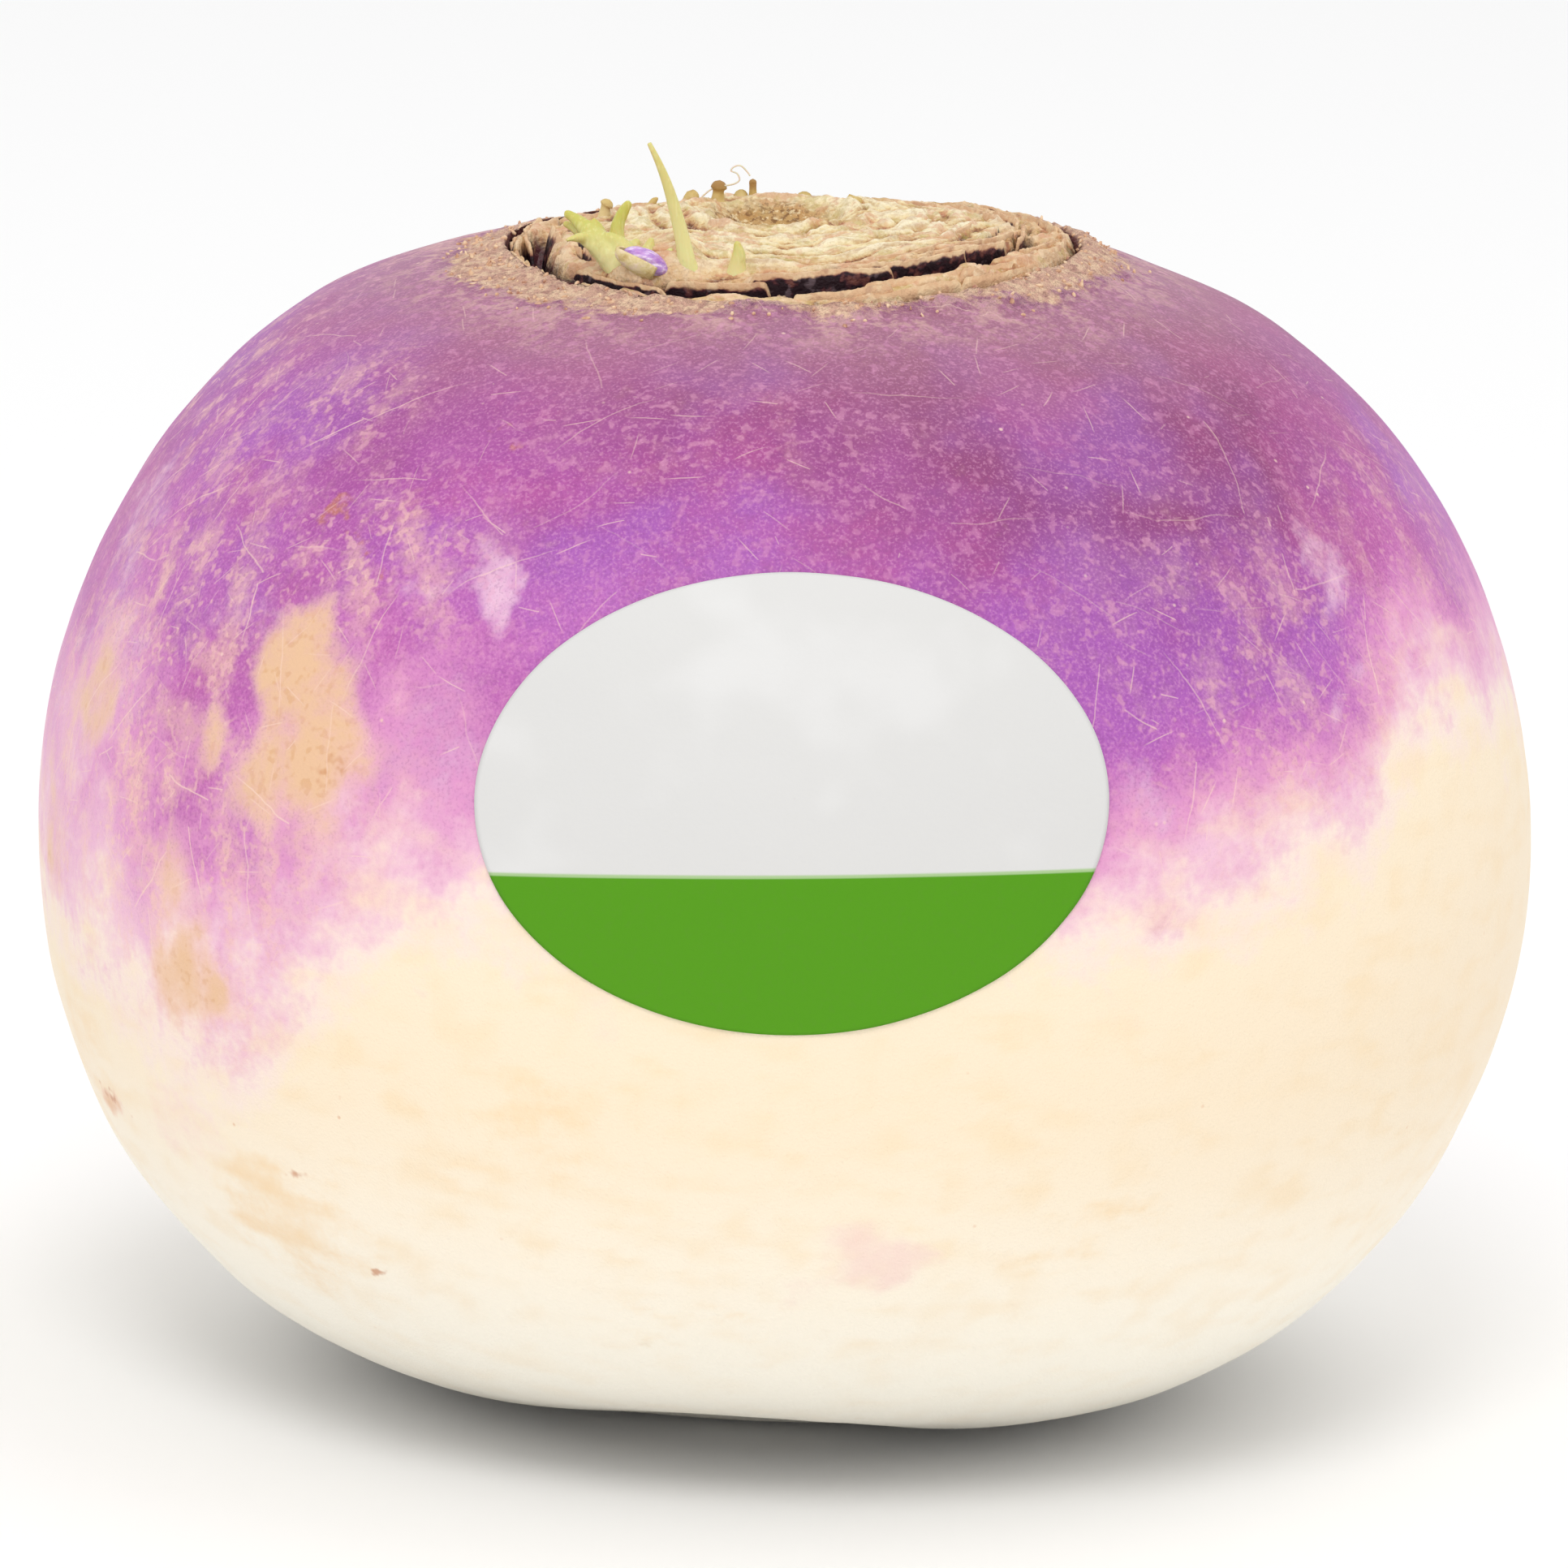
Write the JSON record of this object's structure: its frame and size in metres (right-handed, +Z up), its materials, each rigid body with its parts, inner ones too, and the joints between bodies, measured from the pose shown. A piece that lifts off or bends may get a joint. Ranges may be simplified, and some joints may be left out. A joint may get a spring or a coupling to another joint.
{
  "type": "turnip",
  "caption": "Trimmed purple-top turnip root with a torn crown, young shoots and a bare oval stick-on label.",
  "frame": {"origin": "middle of the footprint, on the surface that the turnip rests on", "axes": "+Z up through the crown, -Y towards the label"},
  "size_m": [0.084, 0.0849, 0.0719],
  "materials": {
    "skin": "satin purple skin over cream",
    "shoot": "satin yellow-green",
    "bud": "satin lilac",
    "label": "satin"
  },
  "bodies": {
    "root": {"root": "skin", "tall_shoot": "shoot", "short_shoot": "shoot", "leaf_tuft": "shoot", "lilac_bud": "bud", "label": "label"}
  },
  "joints": []
}
